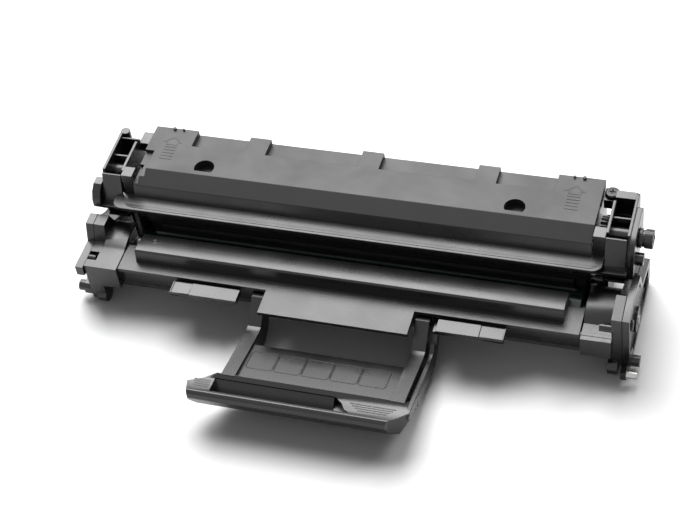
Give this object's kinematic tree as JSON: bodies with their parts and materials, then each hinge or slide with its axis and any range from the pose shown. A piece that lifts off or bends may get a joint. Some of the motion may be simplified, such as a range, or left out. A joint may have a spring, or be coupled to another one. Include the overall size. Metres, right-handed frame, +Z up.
{
  "type": "toner cartridge",
  "caption": "Long black toner cartridge: ridged cover plate with a looped carrying handle in front, lidded hopper behind, end caps, and a drum, rollers and gear train inside.",
  "frame": {"origin": "centre of the bounding box on the plane the cartridge rests on", "axes": "+X along the cartridge to the drive end, +Y from the handle to the hopper's back, +Z up"},
  "size_m": [0.2948, 0.1446, 0.058],
  "materials": {
    "housing_plastic": "satin moulded",
    "textured_plastic": "spark-eroded grain",
    "lid_plastic": "satin moulded",
    "gear_plastic": "natural acetal",
    "coupling_plastic": "black acetal",
    "drum_coat": "organic coat on drawn aluminium",
    "roller_rubber": "ground rubber",
    "supply_foam": "open foam",
    "blade_rubber": "cast polyurethane",
    "shaft_steel": "ground",
    "sheet_steel": "zinc coated sheet",
    "screw_steel": "black zinc",
    "film": "polyester film",
    "seal_felt": "felt"
  },
  "bodies": {
    "shell": {"waste_cover": "textured_plastic", "waste_frame": "housing_plastic", "handle": "housing_plastic", "hopper_body": "housing_plastic", "hopper_lid": "lid_plastic", "right_side_housing": "housing_plastic", "left_side_housing": "housing_plastic", "right_end_cap": "housing_plastic", "left_end_cap": "housing_plastic", "link_pins": "shaft_steel", "guide_pin": "shaft_steel", "drum_pins": "shaft_steel", "charge_holders": "coupling_plastic", "charge_springs": "shaft_steel", "unit_springs": "shaft_steel", "blade_bracket": "sheet_steel", "cleaning_blade": "blade_rubber", "doctor_bracket": "sheet_steel", "doctor_blade": "roller_rubber", "developer_bushings": "coupling_plastic", "supply_bushings": "coupling_plastic", "agitator_bushings": "coupling_plastic", "end_seals": "seal_felt", "fill_plug": "coupling_plastic", "bias_contact": "sheet_steel", "housing_screw": "screw_steel", "bracket_screws": "screw_steel", "doctor_screws": "screw_steel", "cap_screws": "screw_steel"},
    "drum": {"drum_tube": "drum_coat", "drum_gear_flange": "gear_plastic", "drum_left_flange": "gear_plastic"},
    "charge": {"charge_roller": "roller_rubber", "charge_shaft": "shaft_steel"},
    "developer": {"developer_roller": "roller_rubber", "developer_shaft": "shaft_steel", "developer_gear": "gear_plastic"},
    "supply": {"supply_roller": "supply_foam", "supply_shaft": "shaft_steel", "supply_gear": "gear_plastic"},
    "agitator": {"agitator_shaft": "gear_plastic", "agitator_film": "film", "agitator_gear": "gear_plastic"},
    "idler": {"idler_gear": "gear_plastic"},
    "coupling": {"drive_coupling": "coupling_plastic"}
  },
  "joints": [
    {"name": "coupling_spin", "type": "hinge", "parent": "shell", "child": "coupling", "pos_m": [-0.0012, 0.0438, 0.0475], "axis": [1, 0, 0], "continuous": true},
    {"name": "idler_spin", "type": "hinge", "parent": "shell", "child": "idler", "pos_m": [-0.0012, 0.03599, 0.03354], "axis": [1, 0, 0], "continuous": true},
    {"name": "developer_spin", "type": "hinge", "parent": "shell", "child": "developer", "pos_m": [-0.0012, 0.0395, 0.01834], "axis": [1, 0, 0], "continuous": true},
    {"name": "supply_spin", "type": "hinge", "parent": "shell", "child": "supply", "pos_m": [-0.0012, 0.05398, 0.01526], "axis": [1, 0, 0], "continuous": true},
    {"name": "agitator_spin", "type": "hinge", "parent": "shell", "child": "agitator", "pos_m": [-0.0012, 0.05504, 0.03501], "axis": [1, 0, 0], "continuous": true},
    {"name": "drum_spin", "type": "hinge", "parent": "shell", "child": "drum", "pos_m": [-0.0012, 0.0193, 0.0155], "axis": [1, 0, 0], "continuous": true},
    {"name": "charge_spin", "type": "hinge", "parent": "shell", "child": "charge", "pos_m": [-0.0012, 0.0075, 0.0268], "axis": [1, 0, 0], "continuous": true}
  ],
  "couplings": [
    {"joint": "idler_spin", "follows": "coupling_spin", "ratio": -1},
    {"joint": "developer_spin", "follows": "coupling_spin", "ratio": 1.0526},
    {"joint": "supply_spin", "follows": "coupling_spin", "ratio": -1.1111},
    {"joint": "agitator_spin", "follows": "coupling_spin", "ratio": -0.90909},
    {"joint": "drum_spin", "follows": "coupling_spin", "ratio": -0.625},
    {"joint": "charge_spin", "follows": "coupling_spin", "ratio": 1.875}
  ]
}
